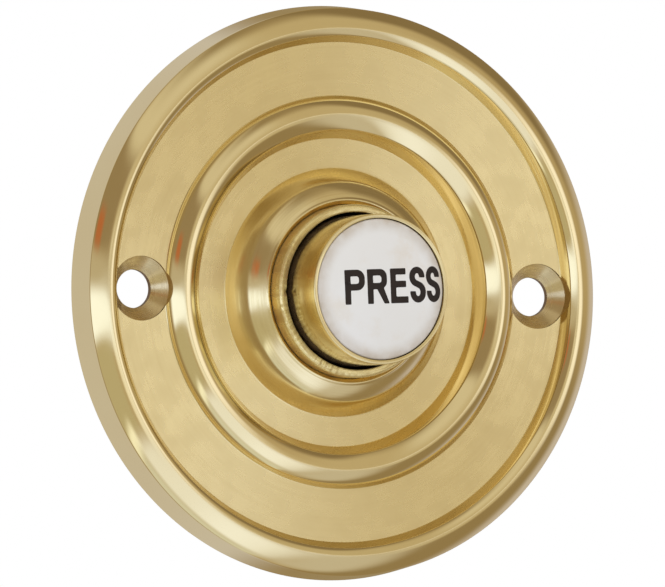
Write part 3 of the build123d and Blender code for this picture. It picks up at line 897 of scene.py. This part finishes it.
def studio_light(azimuth, elevation):
    """Colour that comes from one direction of the studio."""
    across, rise = math.remainder(azimuth - MIRRORED[0], 360), elevation - MIRRORED[1]
    turn, distance = math.degrees(math.atan2(rise, across)), math.hypot(across, rise)
    colour = np.array(ROOM)
    for t0, t1, d0, d1, soft_turn, soft_distance, tint in FAN:
        off = abs(math.remainder(turn - (t0 + t1) / 2, 360))
        insides = (
            ((t1 - t0) / 2 - off) / soft_turn,
            (distance - d0) / soft_distance + (d0 == 0),
            (d1 - distance) / soft_distance,
        )
        mask = 1.0
        for inside in insides:
            share = min(1.0, max(0.0, inside + 0.5))
            mask *= share * share * (3 - 2 * share)
        colour = colour + (np.array(tint) - colour) * mask
    return colour


def studio_shell():
    """A dome round the object that only mirrors see, like a photographer's light tent."""
    azimuths, elevations = np.arange(-180, 180, TENT_STEP), np.arange(-90, 90.1, TENT_STEP)
    points, colours = [], []
    for e in elevations:
        for a in azimuths:
            ra, re = math.radians(a), math.radians(e)
            points.append((
                math.sin(ra) * math.cos(re) * TENT_RADIUS,
                -math.cos(ra) * math.cos(re) * TENT_RADIUS,
                math.sin(re) * TENT_RADIUS,
            ))
            colours.append(studio_light(a, e))
    mesh = mesh_of("light_tent", points, grid_faces(len(elevations), len(azimuths), True))
    glow = mesh.color_attributes.new("glow", "FLOAT_COLOR", "POINT")
    glow.data.foreach_set("color", [c for tint in colours for c in (*tint, 1.0)])
    made = put_in_scene("light_tent", mesh)
    material = bpy.data.materials.new("tent_cloth_light")
    material.use_nodes = True
    tree = material.node_tree
    tree.nodes.clear()
    tint = add(tree, "ShaderNodeAttribute", attribute_name="glow")
    light = add(tree, "ShaderNodeEmission", {"Color": tint.outputs["Color"], "Strength": 1.0})
    add(tree, "ShaderNodeOutputMaterial", {"Surface": light})
    mesh.materials.append(material)
    made.visible_camera = False
    made.visible_diffuse = False
    made.visible_transmission = False
    made.visible_shadow = False


studio_shell()


def floor_piece():
    """Plain pale floor below the object. The camera sees it a little paler than the lamps make it."""
    corners = ((-1, -1), (1, -1), (1, 1), (-1, 1))
    points = [(x * FLOOR_HALF, y * FLOOR_HALF, FLOOR_DROP) for x, y in corners]
    mesh = mesh_of("floor", points, [(0, 1, 2, 3)])
    made = put_in_scene("floor", mesh)
    material, tree, shader, _ = new_finish("pale_matt_floor")
    shader.inputs["Base Color"].default_value = linear("#F2F0EC")
    shader.inputs["Roughness"].default_value = 0.8
    path = add(tree, "ShaderNodeLightPath")
    seen = add(
        tree, "ShaderNodeMath", {0: path.outputs["Is Camera Ray"], 1: FLOOR_GLOW}, operation="MULTIPLY"
    )
    pale = add(tree, "ShaderNodeEmission", {"Color": (1, 1, 1, 1), "Strength": 1.0})
    both = add(tree, "ShaderNodeMixShader", {0: seen, 1: shader, 2: pale})
    tree.links.new(both.outputs[0], tree.nodes["Material Output"].inputs["Surface"])
    mesh.materials.append(material)
    made.visible_glossy = False


floor_piece()

# World: soft light for matt surfaces, and plain white behind the object
world = bpy.data.worlds.new("studio_world")
bpy.context.scene.world = world
world.use_nodes = True
world_tree = world.node_tree
world_tree.nodes.clear()
path = add(world_tree, "ShaderNodeLightPath")
seen = add(
    world_tree, "ShaderNodeMath",
    {0: path.outputs["Is Camera Ray"], 1: path.outputs["Is Glossy Ray"]}, operation="MAXIMUM",
)
seen = add(
    world_tree, "ShaderNodeMath", {0: seen, 1: path.outputs["Is Transmission Ray"]}, operation="MAXIMUM"
)
soft_light = add(world_tree, "ShaderNodeBackground", {"Color": linear("#F2EEE8"), "Strength": ROOM_LIGHT})
white = add(world_tree, "ShaderNodeBackground", {"Color": (1, 1, 1, 1), "Strength": 1.0})
mixed = add(world_tree, "ShaderNodeMixShader", {0: seen, 1: soft_light, 2: white})
add(world_tree, "ShaderNodeOutputWorld", {"Surface": mixed})


def soft_lamp(name, place, size, power, code):
    """A large area lamp that points at the object."""
    light = bpy.data.lights.new(name, "AREA")
    light.shape = "DISK"
    light.size = size
    light.energy = power
    light.color = linear(code)[:3]
    lamp = put_in_scene(name, light)
    lamp.location = place
    lamp.rotation_mode = "QUATERNION"
    lamp.rotation_quaternion = (-Vector(place)).to_track_quat("-Z", "Y")
    lamp.visible_glossy = False


soft_lamp("window_lamp", (-0.75, -0.8, -0.1), size=0.6, power=5.0, code="#F4F8FF")
soft_lamp("top_lamp", (0.3, -0.7, 0.9), size=0.8, power=4.0, code="#FFF3E2")


# Camera at the photograph's angle, with parallel rays because the photo shows no perspective

AZIMUTH, ELEVATION = math.radians(-27.62), math.radians(-2.26)
CAMERA_DISTANCE = 0.6
VIEW_WIDTH = 87.9 * MM
SHIFT_RIGHT, SHIFT_DOWN = 0.886 * MM, 0.04 * MM
back = Vector((
    math.sin(AZIMUTH) * math.cos(ELEVATION), -math.cos(AZIMUTH) * math.cos(ELEVATION), math.sin(ELEVATION)
))
right = Vector((math.cos(AZIMUTH), math.sin(AZIMUTH), 0))
up = back.cross(right)
camera_data = bpy.data.cameras.new("camera")
camera_data.type = "ORTHO"
camera_data.ortho_scale = VIEW_WIDTH
camera = put_in_scene("camera", camera_data)
stand = right * SHIFT_RIGHT - up * SHIFT_DOWN + back * CAMERA_DISTANCE
camera.matrix_world = Matrix.Translation(stand) @ Matrix((right, up, back)).transposed().to_4x4()
bpy.context.scene.camera = camera
bpy.context.scene.view_settings.view_transform = "Standard"
